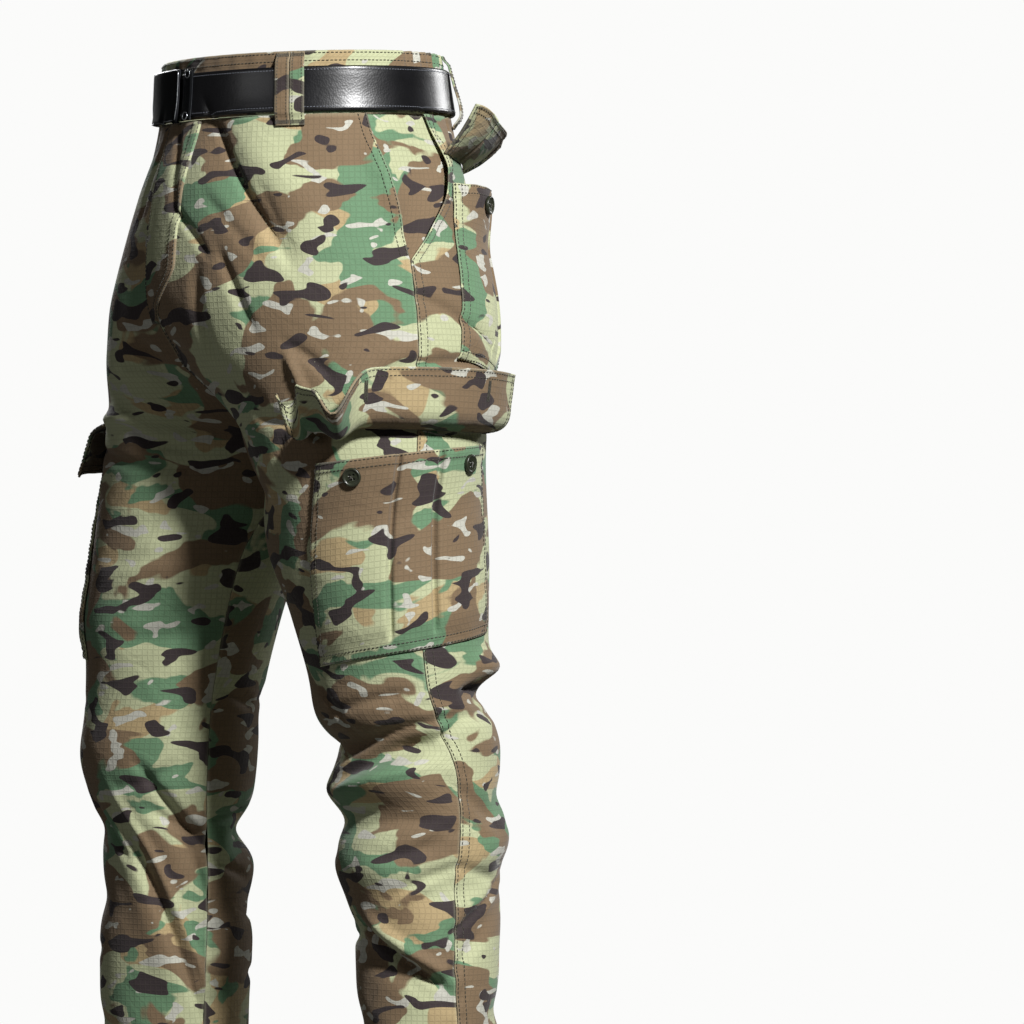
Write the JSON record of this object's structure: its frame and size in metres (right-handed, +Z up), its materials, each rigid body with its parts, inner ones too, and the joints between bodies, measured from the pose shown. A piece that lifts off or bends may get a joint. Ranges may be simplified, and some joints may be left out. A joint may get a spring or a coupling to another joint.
{
  "type": "cargo trousers",
  "caption": "Worn cargo trousers, hollow, with patch pockets on seat and thighs, raised flaps, slanted hip pockets and a black belt.",
  "frame": {"origin": "centre of the waist's upper edge", "axes": "+Z up out of the waist, the front faces -Y, the garment's own left side is +X; the legs hang towards -Z"},
  "size_m": [0.4434, 0.2948, 1.003],
  "materials": {
    "printed_cloth": "matt printed ripstop cotton",
    "belt_leather": "glossy black leather",
    "buckle_metal": "black plated, satin",
    "button_plastic": "satin dark olive"
  },
  "bodies": {
    "root": {"front_panel_left": "printed_cloth", "back_panel_left": "printed_cloth", "hip_pocket_facing_left": "printed_cloth", "back_pocket_left": "printed_cloth", "back_flap_left": "printed_cloth", "cargo_pocket_left": "printed_cloth", "cargo_flap_left": "printed_cloth", "hem_left": "printed_cloth", "loop_back_left": "printed_cloth", "loop_front_left_a": "printed_cloth", "loop_front_left_b": "printed_cloth", "front_panel_right": "printed_cloth", "back_panel_right": "printed_cloth", "hip_pocket_facing_right": "printed_cloth", "back_pocket_right": "printed_cloth", "back_flap_right": "printed_cloth", "cargo_pocket_right": "printed_cloth", "cargo_flap_right": "printed_cloth", "hem_right": "printed_cloth", "loop_back_right": "printed_cloth", "loop_front_right_a": "printed_cloth", "loop_front_right_b": "printed_cloth", "waistband": "printed_cloth", "fly": "printed_cloth", "loop_centre_back": "printed_cloth", "belt": "belt_leather", "buckle": "buckle_metal", "buckle_clamp": "buckle_metal", "back_button_left": "button_plastic", "cargo_button_left_a": "button_plastic", "cargo_button_left_b": "button_plastic", "back_button_right": "button_plastic", "cargo_button_right_a": "button_plastic", "cargo_button_right_b": "button_plastic"}
  },
  "joints": []
}
